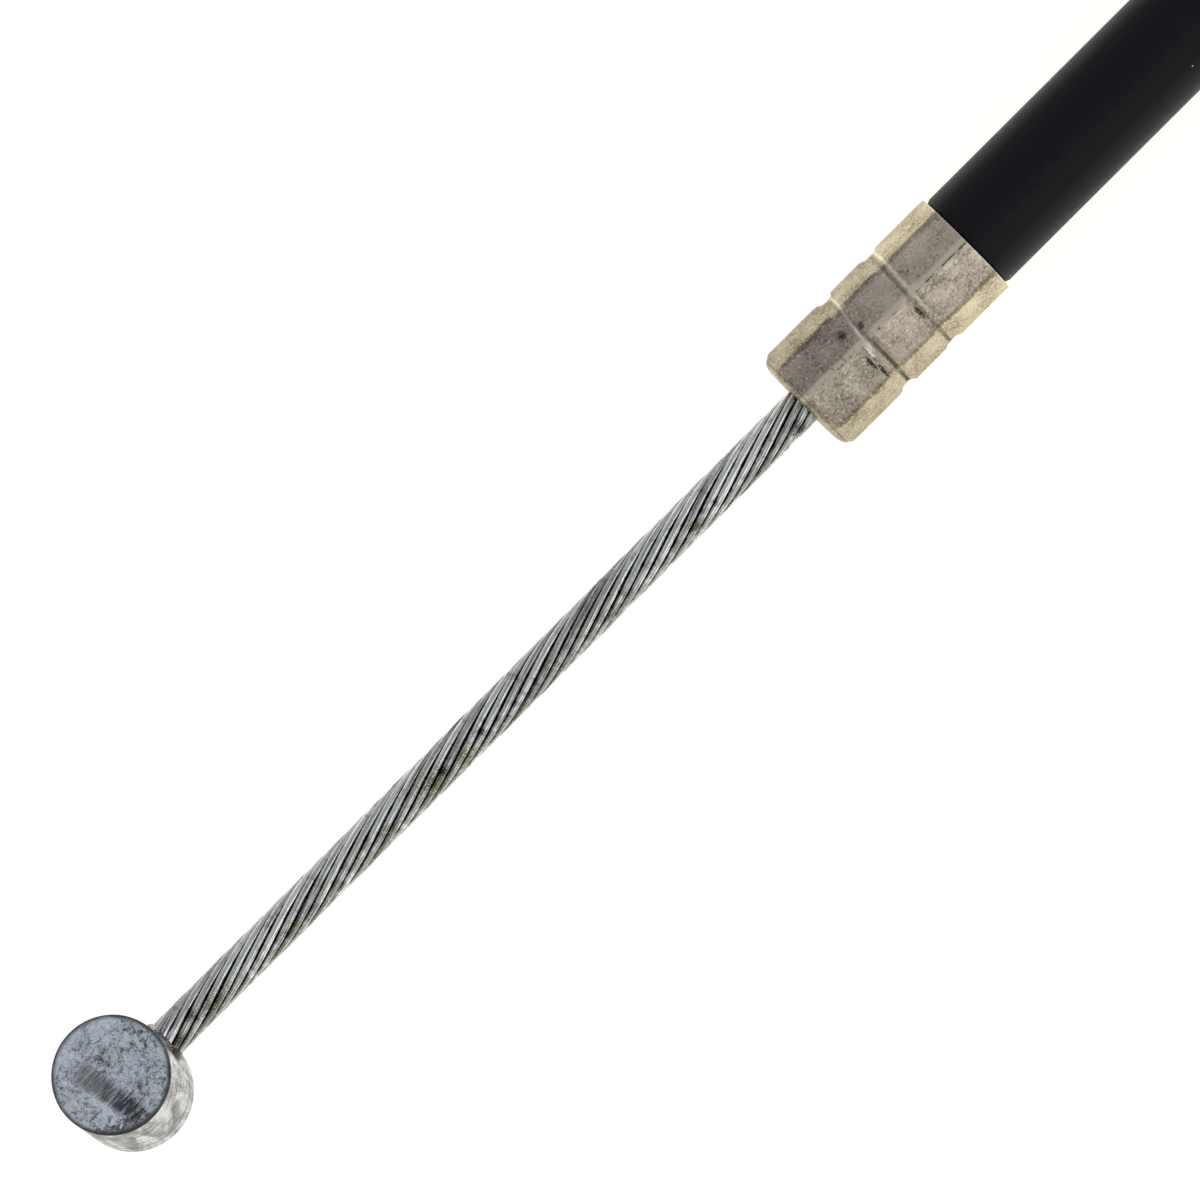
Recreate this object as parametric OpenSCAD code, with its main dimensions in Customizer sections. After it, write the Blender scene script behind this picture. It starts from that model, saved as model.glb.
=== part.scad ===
// A mechanical control cable, as a hand lever works a brake or a clutch with: a stranded wire
// with a cast barrel on each end slides in a lined, steel-wound housing under a black jacket.
// The origin is the centre of the lever barrel. X runs along the wire from that barrel into
// the housing, and Z runs up the barrel's own axis. The cable lies on the barrel's lower face.

/* [Inner wire] */
// Diameter over the outer wires of the strand
wire_d = 2.7; // [2.2:0.05:2.8]
// Diameter over the wires inside the outer ones
wire_core_d = 1.6; // [1.2:0.05:1.8]
// Diameter of the splayed end inside each barrel
wire_splay_d = 4.2; // [3.2:0.1:4.8]
// Length over which a wire end is splayed
wire_splay_len = 2.8; // [1.6:0.1:3.2]
// How far the splayed end reaches past the barrel's axis
wire_splay_back = 1.8; // [1:0.1:2.2]
// Bare wire between the lever barrel and the ferrule
lever_bare = 58.5; // [45:0.5:70]
// Bare wire between the far barrel and the adjuster
far_bare = 25; // [15:1:35]
// Length of wire that stays guided when an end is pulled right out
wire_spare = 4; // [2:0.5:8]

/* [Barrels] */
// Diameter of the barrel that turns in the lever
lever_barrel_d = 8; // [7:0.1:10]
// Length of the lever barrel along its own axis
lever_barrel_h = 8; // [7:0.1:12]
// Diameter of the barrel on the far end
far_barrel_d = 7; // [6.5:0.1:9]
// Length of the far barrel along its own axis
far_barrel_h = 9; // [6:0.1:12]
// Chamfer round both faces of a barrel
barrel_chamfer = 0.3; // [0.1:0.05:0.6]

/* [Ferrule] */
// Length of the crimped ferrule
ferrule_len = 15; // [13:0.5:20]
// Diameter across the ferrule's rounded corners
ferrule_d = 7.96; // [7.6:0.02:8.04]
// Distance across the ferrule's eight crimped flats
ferrule_flats = 7.44; // [7.4:0.02:7.6]
// Turn of the crimped flats about the wire
crimp_turn = 13; // [0:1:45]
// Thickness of the ferrule's drawn side wall
ferrule_wall = 0.4; // [0.3:0.05:0.4]
// Thickness of the ferrule's end wall
ferrule_end_wall = 0.8; // [0.5:0.1:1.5]
// Diameter of the hole that the wire runs through
ferrule_hole_d = 3.2; // [3:0.1:4]
// Radius of the ferrule's outer corner at the wire
ferrule_corner = 0.64; // [0.3:0.02:1]
// Distance of the deep swaged groove from the end face
deep_groove_at = 5.95; // [4:0.05:6.5]
// Width of the deep groove at the surface
deep_groove_w = 1.6; // [0.8:0.1:1.8]
// Depth of the deep groove
deep_groove_depth = 0.4; // [0.3:0.05:0.45]
// Distance of the shallow swaged groove from the end face
shallow_groove_at = 9.95; // [9:0.05:11.5]
// Width of the shallow groove at the surface
shallow_groove_w = 1.1; // [0.6:0.1:1.4]
// Depth of the shallow groove
shallow_groove_depth = 0.28; // [0.15:0.01:0.4]

/* [Housing] */
// Outer diameter of the black jacket
jacket_d = 7.4; // [6.8:0.1:7.8]
// Outer diameter of the flat steel winding
winding_d = 5.8; // [5.2:0.1:5.8]
// Outer diameter of the plastic liner
liner_d = 3.9; // [3.6:0.1:4.4]
// Bore of the liner that the wire slides in
liner_bore_d = 3.15; // [2.9:0.05:3.4]
// Length over which the jacket swells to full size behind the ferrule
jacket_swell = 0.6; // [0.3:0.1:1.5]

/* [Coil] */
// Turns of housing wound up for storage
coil_turns = 3.5; // [2.5:1:4.5]
// Radius of the outermost turn's centre line
coil_r = 44; // [40:1:50]
// Gap between neighbouring turns and layers
coil_gap = 0.5; // [0.45:0.05:1]
// Straight run into and out of the coil
coil_lead = 8; // [7.5:0.5:12]

/* [Coil ties] */
// Width of a tie's strap
tie_w = 3.6; // [2.5:0.1:5]
// Thickness of a tie's strap
tie_t = 0.9; // [0.7:0.1:1.2]
// Clearance between a strap and the turns that it holds
tie_fit = 0.25; // [0.25:0.05:0.4]
// Width of a tie's locking head along the housing
tie_head_w = 5; // [4:0.5:7]
// Height of a tie's locking head
tie_head_h = 4; // [3:0.5:6]
// How far a tie's locking head stands off its strap
tie_head_t = 3.5; // [2.5:0.5:5]
// Place of the first tie, in turns from the start of the coil
tie_a_at = 0.25; // [0.125:0.125:0.375]
// Place of the second tie, in turns from the start of the coil
tie_b_at = 0.625; // [0.625:0.125:0.875]

/* [Adjuster] */
// Diameter of the adjuster's outside thread
thread_d = 8; // [7.5:0.5:8]
// Pitch of the adjuster's thread
thread_pitch = 1.25; // [1:0.25:1.5]
// Number of thread turns
thread_turns = 21; // [20:1:30]
// Depth of the thread
thread_depth = 0.7; // [0.5:0.05:0.8]
// Bore of the adjuster for the wire
adjuster_bore_d = 3.6; // [3.2:0.1:4]
// Diameter of the skirt that is crimped on the housing
skirt_d = 9.2; // [9:0.1:10]
// Length of the skirt
skirt_len = 12; // [10:0.5:16]
// Thickness of metal between the skirt's seat and its front face
skirt_floor = 1.5; // [1:0.1:2.5]
// Chamfer round both ends of the skirt
skirt_chamfer = 0.4; // [0.2:0.1:0.6]
// Width of the rolled grooves round the skirt
skirt_groove_w = 1.4; // [0.8:0.1:1.8]
// Depth of the rolled grooves round the skirt
skirt_groove_depth = 0.3; // [0.2:0.05:0.4]

/* [Lock nuts] */
// Distance across the flats of a lock nut
nut_flats = 13; // [12:0.5:13]
// Diameter across a nut's chamfered corners
nut_corners = 14.4; // [13.8:0.1:14.8]
// Thickness of a lock nut
nut_t = 5; // [4:0.1:5.4]
// Diameter of a washer
washer_d = 15; // [15:0.5:17]
// Hole of a washer
washer_hole_d = 8.4; // [8.2:0.1:9]
// Thickness of a washer
washer_t = 1.6; // [1.2:0.1:1.8]
// Distance of the outer nut from the adjuster's mouth
outer_nut_at = 4; // [3:0.5:4.5]
// Space between the washers for a bracket
bracket_gap = 5; // [4:0.5:5.5]

/* [Fits] */
// Clearance between the layers of the housing and the parts crimped on them
layer_fit = 0.02; // [0.01:0.01:0.05]
// Clearance between a barrel and the wire that it is cast on
cast_fit = 0.02; // [0.01:0.01:0.05]
// Clearance between a nut and the crests of the thread
thread_fit = 0.06; // [0.02:0.01:0.1]
// Clearance between a nut and its washer
face_fit = 0.05; // [0.02:0.01:0.2]

/* [Hidden] */

$fn = 96; // round shapes
hull_fn = 32; // circles that a hull wraps
cord_sides = 8; // sides of the free housing's tube
coil_sides = 6; // sides of the wound housing's tube
rings_per_turn = 24;
over = 1; // how far a cutting shape passes the face that it cuts

floor_z = -max(lever_barrel_h, ferrule_d) / 2;
jacket_r = jacket_d / 2;

// lever end: the ferrule's face, and a bore that takes the wire pushed in to the barrel
ferrule_x = lever_barrel_d / 2 + lever_bare;
ferrule_bore_d = ferrule_flats - 2 * ferrule_wall;
housing_x = ferrule_x + ferrule_end_wall + layer_fit;
lever_wire_end = ferrule_x + far_bare + wire_spare;
lever_bore_end = lever_wire_end + lever_bare + over;

// grooves as [distance from the end, width, depth]
ferrule_grooves = [
    [deep_groove_at, deep_groove_w, deep_groove_depth],
    [shallow_groove_at, shallow_groove_w, shallow_groove_depth]];

// coil: two layers that spiral in below and out again above
coil_pitch = jacket_d + coil_gap;
coil_x = lever_bore_end + coil_lead;
coil_z = floor_z + tie_t + tie_fit + jacket_r;
climb_turns = 0.5; // the coil climbs a layer in this part of a turn
settle_turns = 0.25; // and comes to its own level in this part of its first turn

// tail: [distance from the coil's straight run, share of the way down to the adjuster's level]
tail_route = [[0, 0], [3, 0], [7, 0.07], [11, 0.24], [16, 0.5], [21, 0.76], [25, 0.93],
    [29, 1], [32, 1]];
tail_end = tail_route[len(tail_route) - 1];

// far end: the washers lie on the same plane as the lever barrel
far_z = floor_z + washer_d / 2;
far_y = 2 * coil_r;
far_bore_end = lever_bore_end - tail_end[0];
far_wire_in = lever_bare + wire_spare;
mouth_x = far_bore_end - far_wire_in - far_bare - over;
far_barrel_x = mouth_x - far_bare - far_barrel_d / 2;
far_wire_len = mouth_x + far_wire_in - far_barrel_x;
thread_len = thread_turns * thread_pitch;
seat_x = mouth_x + thread_len + skirt_floor;
nut_bore_d = thread_d + 2 * thread_fit;
outer_nut_x = mouth_x + outer_nut_at;
outer_washer_x = outer_nut_x + nut_t + face_fit;
inner_washer_x = outer_washer_x + washer_t + bracket_gap;
inner_nut_x = inner_washer_x + washer_t + face_fit;

function unit(v) = v / norm(v);
function ease(t) = let (s = max(0, min(1, t))) s * s * (3 - 2 * s);

// radius of the tool that rolls a groove of a width and depth
function groove_r(groove) = (pow(groove[1] / 2, 2) + pow(groove[2], 2)) / (2 * groove[2]);

// turns already wound in, which the upper layer winds out again
function wound_in(turn) = min(turn, coil_turns - turn);
function turn_radius(turn) = coil_r - coil_pitch * wound_in(turn);
function turn_height(turn) = coil_z * ease(turn / settle_turns)
    + coil_pitch * ease((turn - coil_turns / 2) / climb_turns + 0.5);
function coil_point(turn) = let (r = turn_radius(turn), a = 360 * turn - 90)
    [coil_x + r * cos(a), coil_r + r * sin(a), turn_height(turn)];

coil_steps = round(coil_turns * rings_per_turn);
coil_end = coil_point(coil_turns);
coil_path = concat(
    [coil_point(0) - [coil_lead, 0, 0]],
    [for (i = [0 : coil_steps]) coil_point(i / rings_per_turn)],
    [coil_end - [coil_lead, 0, 0]]);
tail_path = [for (p = tail_route)
    [lever_bore_end - p[0], far_y, coil_end[2] + p[1] * (far_z - coil_end[2])]];

// least distance between points of the coil that lie half a turn or more apart
half_turn = rings_per_turn / 2;
coil_gaps = [for (i = [0 : len(coil_path) - 1], j = [0 : len(coil_path) - 1])
    if (j > i + half_turn) norm(coil_path[i] - coil_path[j]) - jacket_d];
coil_runs = [for (i = [1 : len(coil_path) - 1]) norm(coil_path[i] - coil_path[i - 1])];
coil_length = coil_runs * [for (run = coil_runs) 1];
echo(least_gap_of_the_coil = min(coil_gaps), length_of_the_coil = coil_length);

// a closed tube of flat triangles along a path, with a corner of each ring on top
function ring(path, i, r, sides) =
    let (last = len(path) - 1,
        along = unit(path[min(i + 1, last)] - path[max(i - 1, 0)]),
        side = unit(cross([0, 0, 1], along)),
        up = cross(along, side))
    [for (k = [0 : sides - 1])
        let (a = 90 + 360 * k / sides) path[i] + r * (cos(a) * side + sin(a) * up)];

module swept_tube(path, r, sides) {
    last = len(path) - 1;
    points = [for (i = [0 : last]) each ring(path, i, r, sides)];
    walls = [for (i = [0 : last - 1], k = [0 : sides - 1])
        let (a = i * sides + k, b = i * sides + (k + 1) % sides)
        each [[a, b + sides, b], [a, a + sides, b + sides]]];
    start_cap = [for (k = [1 : sides - 2]) [0, k, k + 1]];
    end_cap = [for (k = [1 : sides - 2]) [last * sides, last * sides + k + 1, last * sides + k]];
    polyhedron(points, concat(walls, start_cap, end_cap));
}

// turns a shape made up Z so that it runs along X from a point on the lever's wire
module along_x(x) translate([x, 0, 0]) rotate([0, 90, 0]) children();
// the same on the far end's own axis
module far_along_x(x) translate([0, far_y, far_z]) along_x(x) children();

// a straight pipe
module pipe(length, outer_d, inner_d) difference() {
    cylinder(h = length, d = outer_d);
    translate([0, 0, -over]) cylinder(h = length + 2 * over, d = inner_d);
}

// a ring of round section whose inner side reaches the bottom of a rolled groove
module groove_ring(groove, d, wall = 0) {
    r = groove_r(groove);
    rotate_extrude() translate([d / 2 - groove[2] + r, groove[0]]) circle(r = r + wall);
}

module chamfered_cylinder(h, d, chamfer) rotate_extrude() polygon([
    [0, 0], [d / 2 - chamfer, 0], [d / 2, chamfer],
    [d / 2, h - chamfer], [d / 2 - chamfer, h], [0, h]]);

// the strand's outer wires, splayed at the start, with the inner wires left out
module wire_cover(length) difference() {
    wire_outline(length, 0);
    translate([0, 0, -wire_splay_back - over])
        cylinder(h = wire_splay_back + length + 2 * over, d = wire_core_d + 2 * cast_fit);
}

module wire_outline(length, fit) rotate_extrude() polygon([
    [0, -wire_splay_back - fit],
    [wire_splay_d / 2 + fit, -wire_splay_back - fit],
    [wire_d / 2 + fit, wire_splay_len - wire_splay_back],
    [wire_d / 2 + fit, length], [0, length]]);

module wire_core(length) translate([0, 0, -wire_splay_back])
    cylinder(h = wire_splay_back + length, d = wire_core_d);

// a cast barrel with its own axis up Z, round the wire's end
module barrel(d, h) difference() {
    translate([0, 0, -h / 2]) chamfered_cylinder(h, d, barrel_chamfer);
    along_x(0) wire_outline(d, cast_fit);
}

// the inside of the ferrule, where the swaged grooves stand in as ridges
module ferrule_seat(fit) difference() {
    translate([0, 0, ferrule_end_wall + fit])
        cylinder(h = ferrule_len - ferrule_end_wall - fit + over, d = ferrule_bore_d - 2 * fit);
    for (groove = ferrule_grooves) groove_ring(groove, ferrule_d, ferrule_wall + fit);
}

// the ferrule's drawn cup before crimping, with its rounded end corner
module ferrule_cup() rotate_extrude() {
    square([ferrule_d / 2 - ferrule_corner, ferrule_len]);
    translate([0, ferrule_corner]) square([ferrule_d / 2, ferrule_len - ferrule_corner]);
    translate([ferrule_d / 2 - ferrule_corner, ferrule_corner]) circle(r = ferrule_corner);
}

module lever_barrel() color("lightslategray") barrel(lever_barrel_d, lever_barrel_h);

module lever_wire_core() color("gray") along_x(0) wire_core(lever_wire_end);

module lever_wire_cover() color("darkgray") along_x(0) wire_cover(lever_wire_end);

module lever_ferrule() color("tan") along_x(ferrule_x) difference() {
    intersection() {
        ferrule_cup();
        rotate([0, 0, crimp_turn])
            cylinder(h = ferrule_len, d = ferrule_flats / cos(180 / 8), $fn = 8);
    }
    for (groove = ferrule_grooves) groove_ring(groove, ferrule_d);
    translate([0, 0, -over]) cylinder(h = ferrule_end_wall + 2 * over, d = ferrule_hole_d);
    ferrule_seat(0);
}

module lever_liner() color("ivory") along_x(housing_x)
    pipe(lever_bore_end - housing_x, liner_d, liner_bore_d);

module lever_winding() color("silver") along_x(housing_x)
    pipe(lever_bore_end - housing_x, winding_d, liner_d + 2 * layer_fit);

module lever_jacket() color("black") difference() {
    union() {
        along_x(ferrule_x) intersection() {
            ferrule_seat(layer_fit);
            cylinder(h = ferrule_len, d = ferrule_d);
        }
        along_x(ferrule_x + ferrule_len)
            cylinder(h = jacket_swell, d1 = ferrule_bore_d - 2 * layer_fit, d2 = jacket_d);
        along_x(ferrule_x + ferrule_len + jacket_swell)
            cylinder(h = lever_bore_end - ferrule_x - ferrule_len - jacket_swell, d = jacket_d);
    }
    along_x(ferrule_x)
        cylinder(h = lever_bore_end - ferrule_x + over, d = winding_d + 2 * layer_fit);
}

module housing_coil() color("black") swept_tube(coil_path, jacket_r, coil_sides);

module housing_tail() color("black") swept_tube(tail_path, jacket_r, cord_sides);

// a strap round every turn that passes one place of the coil, with its head inside the coil
module coil_tie(at) {
    turns = [for (turn = [at : 1 : coil_turns]) turn];
    inside_r = min([for (turn = turns) turn_radius(turn)]) - jacket_r - tie_fit - tie_t;
    head_z = [for (turn = turns) if (turn_radius(turn) < inside_r + coil_pitch)
        turn_height(turn)][0];
    translate([coil_x, coil_r, 0]) rotate([0, 0, 360 * at - 90]) {
        rotate([90, 0, 0]) linear_extrude(height = tie_w, center = true) difference() {
            strap_outline(turns, jacket_r + tie_fit + tie_t);
            strap_outline(turns, jacket_r + tie_fit);
        }
        translate([inside_r - tie_head_t, -tie_head_w / 2, head_z - tie_head_h / 2])
            cube([tie_head_t + tie_t / 2, tie_head_w, tie_head_h]);
    }
}

module strap_outline(turns, r) hull()
    for (turn = turns)
        translate([turn_radius(turn), turn_height(turn)]) circle(r = r, $fn = hull_fn);

module coil_tie_a() color("dimgray") coil_tie(tie_a_at);

module coil_tie_b() color("dimgray") coil_tie(tie_b_at);

module far_jacket() color("black") far_along_x(seat_x + layer_fit)
    pipe(far_bore_end - seat_x - layer_fit, jacket_d, winding_d + 2 * layer_fit);

module far_winding() color("silver") far_along_x(seat_x + layer_fit)
    pipe(far_bore_end - seat_x - layer_fit, winding_d, liner_d + 2 * layer_fit);

module far_liner() color("ivory") far_along_x(seat_x + layer_fit)
    pipe(far_bore_end - seat_x - layer_fit, liner_d, liner_bore_d);

// rings of triangular section in place of the helical thread
module thread_rings() rotate_extrude() polygon(concat(
    [[0, 0]],
    [for (i = [0 : thread_turns - 1]) each [
        [thread_d / 2 - thread_depth, i * thread_pitch],
        [thread_d / 2, (i + 0.5) * thread_pitch]]],
    [[thread_d / 2 - thread_depth, thread_len], [0, thread_len]]));

module adjuster_sleeve() color("lightgray") far_along_x(mouth_x) difference() {
    union() {
        thread_rings();
        translate([0, 0, thread_len]) chamfered_cylinder(skirt_len, skirt_d, skirt_chamfer);
    }
    translate([0, 0, -over])
        cylinder(h = thread_len + skirt_len + 2 * over, d = adjuster_bore_d);
    translate([0, 0, thread_len + skirt_floor])
        cylinder(h = skirt_len, d = jacket_d + 2 * layer_fit);
    for (share = [1 / 3, 2 / 3])
        groove_ring([thread_len + skirt_floor + share * (skirt_len - skirt_floor),
            skirt_groove_w, skirt_groove_depth], skirt_d);
}

module washer() pipe(washer_t, washer_d, washer_hole_d);

// a hexagon with its corners turned off at both faces
module lock_nut() {
    bevel = (nut_corners - nut_flats) / 2;
    bevel_h = bevel * tan(30);
    difference() {
        intersection() {
            cylinder(h = nut_t, d = nut_flats / cos(180 / 6), $fn = 6);
            rotate_extrude() polygon([
                [0, 0], [nut_flats / 2, 0], [nut_corners / 2, bevel_h],
                [nut_corners / 2, nut_t - bevel_h], [nut_flats / 2, nut_t], [0, nut_t]]);
        }
        translate([0, 0, -over]) cylinder(h = nut_t + 2 * over, d = nut_bore_d);
    }
}

module washer_inner() color("silver") far_along_x(inner_washer_x) washer();

module lock_nut_inner() color("gainsboro") far_along_x(inner_nut_x) lock_nut();

module washer_outer() color("silver") far_along_x(outer_washer_x) washer();

module lock_nut_outer() color("gainsboro") far_along_x(outer_nut_x) lock_nut();

module far_wire_core() color("gray") far_along_x(far_barrel_x) wire_core(far_wire_len);

module far_wire_cover() color("darkgray") far_along_x(far_barrel_x) wire_cover(far_wire_len);

module far_barrel() color("lightslategray")
    translate([far_barrel_x, far_y, far_z]) barrel(far_barrel_d, far_barrel_h);

lever_barrel();
lever_wire_core();
lever_wire_cover();
lever_ferrule();
lever_liner();
lever_winding();
lever_jacket();
housing_coil();
coil_tie_a();
coil_tie_b();
housing_tail();
far_jacket();
far_winding();
far_liner();
adjuster_sleeve();
washer_inner();
lock_nut_inner();
washer_outer();
lock_nut_outer();
far_wire_core();
far_wire_cover();
far_barrel();
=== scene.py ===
import math
import random
from functools import partial

import bmesh
import bpy
from mathutils import Matrix, Vector


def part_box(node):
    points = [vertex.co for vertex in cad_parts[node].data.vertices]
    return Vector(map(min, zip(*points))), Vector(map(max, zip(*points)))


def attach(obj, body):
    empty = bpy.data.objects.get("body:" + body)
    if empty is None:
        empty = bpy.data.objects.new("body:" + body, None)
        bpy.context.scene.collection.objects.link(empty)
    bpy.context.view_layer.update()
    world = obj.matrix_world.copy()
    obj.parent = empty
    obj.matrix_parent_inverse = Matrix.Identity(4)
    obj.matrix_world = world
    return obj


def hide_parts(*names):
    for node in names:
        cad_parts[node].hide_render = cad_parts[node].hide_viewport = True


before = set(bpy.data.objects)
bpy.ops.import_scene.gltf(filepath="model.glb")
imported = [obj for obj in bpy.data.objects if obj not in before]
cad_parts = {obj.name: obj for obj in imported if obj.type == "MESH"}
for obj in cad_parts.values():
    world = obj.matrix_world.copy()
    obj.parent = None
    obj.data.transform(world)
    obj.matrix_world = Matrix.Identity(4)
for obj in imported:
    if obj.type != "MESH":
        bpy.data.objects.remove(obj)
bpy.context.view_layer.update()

# A mechanical control cable: a strand with a cast barrel on each end slides in a black housing.
# Sizes in the dictionaries are in millimetres, and mm turns them into the scene's metres.
mm = 0.001
same = 0.001  # how far apart two places that count as one may lie
weld = 0.0001  # how far apart two points that become one may lie
roundIn = 0.3  # how far in a round edge's middle point lies, as a share of its radius
print("frame loaded:", len(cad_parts), "nodes")


def toLinear(hexColour):
    channels = [int(hexColour[i:i + 2], 16) / 255 for i in (1, 3, 5)]
    return [c / 12.92 if c <= 0.04045 else ((c + 0.055) / 1.055) ** 2.4 for c in channels] + [1]


def feed(node, inputs):
    # sets inputs, by name or number, to values, hex colours or other nodes
    for key, value in inputs.items():
        named = [s for s in node.inputs if s.name == key and s.enabled]
        socket = named[0] if named else node.inputs[key]
        if isinstance(value, bpy.types.Node):
            value = [s for s in value.outputs if s.enabled][0]
        if isinstance(value, bpy.types.NodeSocket):
            node.id_data.links.new(value, socket)
        else:
            socket.default_value = toLinear(value) if isinstance(value, str) else value


def addNode(tree, kind, inputs=(), stops=(), span=(), **choices):
    node = tree.nodes.new("ShaderNode" + kind)
    for name, choice in choices.items():
        setattr(node, name, choice)
    feed(node, inputs if isinstance(inputs, dict) else dict(enumerate(inputs)))
    # a span is the low and high value that come in, and the two that they turn into
    feed(node, dict(zip(("From Min", "From Max", "To Min", "To Max"), span)))
    for index, (position, colour) in enumerate(stops):
        # the first two stops are the lowest and the highest, and the others lie between them
        ramp = node.color_ramp.elements
        stop = ramp[index] if index < 2 else ramp.new(position)
        stop.position = position
        stop.color = toLinear(colour)
    return node


def startMaterial(name, centre=(0, 0, 0), turn=0, **uniform):
    # object coordinates in millimetres, counted from the centre and turned about X
    material = bpy.data.materials.new(name)
    material.use_nodes = True
    material.node_tree.nodes.clear()
    add = partial(addNode, material.node_tree)
    shader = add("BsdfPrincipled", uniform)
    add("OutputMaterial", {"Surface": shader})
    shift = Matrix.Rotation(turn, 3, "X") @ -Vector(centre)
    place = add("Mapping", {"Vector": add("TexCoord").outputs["Object"],
        "Scale": (1 / mm, 1 / mm, 1 / mm), "Rotation": (turn, 0, 0), "Location": shift})
    return material, add, shader, place


def wear(add, shader, colour, rough, dents):
    # gives a shader the patterns of its finish, with the dents as (height, depth in millimetres)
    normal = {}
    for height, depth in dents:
        normal = {"Normal": add("Bump", {"Height": height, "Distance": depth * mm, **normal})}
    feed(shader, {"Base Color": colour, "Roughness": rough, **normal})


def farFrom(add, value, middle):
    # how far a value lies from a middle one, to either side
    return add("Math", [add("Math", [value, middle], operation="SUBTRACT")], operation="ABSOLUTE")


def lengthOf(add, place, stretch):
    # the distance from the centre, with each axis stretched or left out
    stretched = add("VectorMath", [place, stretch], operation="MULTIPLY")
    return add("VectorMath", [stretched], operation="LENGTH").outputs["Value"]


def spotOn(add, place, noise, colour, spots):
    # ragged spots as (place, stretch, reach, threshold, colour): a high threshold leaves a few pits
    for where, stretch, reach, above, shade in spots:
        apart = add("VectorMath", [place, where], operation="SUBTRACT")
        near = add("MapRange", {"Value": lengthOf(add, apart, stretch)}, span=(0, reach, 0.4, 0))
        covered = add("MapRange", {"Value": add("Math", [noise, near], operation="ADD")},
            span=(above, above + 0.06, 0, 0.9))
        colour = add("Mix", {"Factor": covered, "A": colour, "B": shade}, data_type="RGBA")
    return colour


def startPiece():
    if bpy.context.object and bpy.context.object.mode != "OBJECT":
        bpy.ops.object.mode_set(mode="OBJECT")
    bpy.ops.object.select_all(action="DESELECT")


def makeActive(piece):
    startPiece()
    piece.select_set(True)
    bpy.context.view_layer.objects.active = piece


def editPiece(piece):
    makeActive(piece)
    bpy.ops.object.mode_set(mode="EDIT")


def editAll(piece):
    editPiece(piece)
    bpy.ops.mesh.select_all(action="SELECT")


def pick(kind, test, among="all"):
    # in edit mode, selects what passes the test, of everything or of what is selected now
    bpy.ops.mesh.select_mode(type=kind)
    mesh = bmesh.from_edit_mesh(bpy.context.object.data)
    items = {"VERT": mesh.verts, "EDGE": mesh.edges, "FACE": mesh.faces}[kind]
    chosen = [item for item in items if (among == "all" or item.select) and test(item)]
    bpy.ops.mesh.select_all(action="DESELECT")
    for item in chosen:
        item.select_set(True)
    mesh.select_flush_mode()
    bmesh.update_edit_mesh(bpy.context.object.data)


def applyModifier(piece, kind, **choices):
    makeActive(piece)
    modifier = piece.modifiers.new(kind.lower(), kind)
    for name, choice in choices.items():
        setattr(modifier, name, choice)
    bpy.ops.object.modifier_apply(modifier=modifier.name)


def placeInMesh(piece):
    makeActive(piece)
    bpy.ops.object.transform_apply(location=True, rotation=True, scale=True)


def startFrom(addShape, **choices):
    # a new primitive with its place in its mesh
    startPiece()
    addShape(**choices)
    piece = bpy.context.object
    placeInMesh(piece)
    return piece


def joinPieces(pieces):
    startPiece()
    for piece in pieces:
        piece.select_set(True)
    bpy.context.view_layer.objects.active = pieces[0]
    bpy.ops.object.join()
    return pieces[0]


def cut(piece, tool, operation="DIFFERENCE"):
    applyModifier(piece, "BOOLEAN", operation=operation, solver="EXACT", object=tool)
    bpy.data.objects.remove(tool, do_unlink=True)


def tidyMesh(piece, fillEnds=False):
    editAll(piece)
    bpy.ops.mesh.remove_doubles(threshold=weld * mm)
    if fillEnds:
        bpy.ops.mesh.fill_holes(sides=0)
        bpy.ops.mesh.select_all(action="SELECT")
    bpy.ops.mesh.normals_make_consistent(inside=False)
    bpy.ops.object.mode_set(mode="OBJECT")


def drawLine(points):
    # one vertex, extruded from point to point of (along X, radius), above the X axis
    line = startFrom(bpy.ops.mesh.primitive_plane_add, size=mm, location=(0, 0, 0))
    editPiece(line)
    bpy.ops.mesh.select_mode(type="VERT")
    bpy.ops.mesh.select_all(action="SELECT")
    bpy.ops.mesh.merge(type="CENTER")
    here = Vector()
    for index, (x, r) in enumerate(points):
        step = Vector((x, 0, r)) * mm - here
        if index == 0:
            bpy.ops.transform.translate(value=step)
        else:
            bpy.ops.mesh.extrude_vertices_move(TRANSFORM_OT_translate={"value": step})
        here += step
    bpy.ops.object.mode_set(mode="OBJECT")
    return line


def turned(points, steps=96):
    # a closed outline of (along X, radius) points, spun about the X axis
    piece = drawLine(points + points[:1])
    applyModifier(piece, "SCREW", axis="X", steps=steps, render_steps=steps)
    tidyMesh(piece)
    return piece


def moved(points, x):
    return [(px + x, radius) for px, radius in points]


def boxOf(node):
    # the low and the high corner of a CAD node
    return [Vector(corner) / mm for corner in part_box(node)]


def dress(node, finish):
    # gives a CAD node that stays in the model its finish
    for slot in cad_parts[node].material_slots:
        slot.material = finish


def finishPiece(piece, name, body, nodes, materials, smoothUnder=35):
    piece.name = name
    placeInMesh(piece)
    bpy.ops.object.shade_smooth_by_angle(angle=math.radians(smoothUnder))
    for material in materials:
        piece.data.materials.append(material)
    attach(piece, body)
    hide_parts(*nodes)
    print("made", name)
    return piece


view = {
    "aim": (44.21, 0.37, 0),  # the point in the middle of the view
    "width": 78.1,  # of what is seen at the aim
    "distance": 1100,  # far off, for almost no perspective
    "tilt": 13.65,  # degrees from straight above, towards the barrel's -Y side
    "roll": 44.9,  # degrees of the wire above the level
    "sensor": 36,
    "clip": (0.01, 50),  # nearest and farthest that it sees, in metres
}


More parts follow.
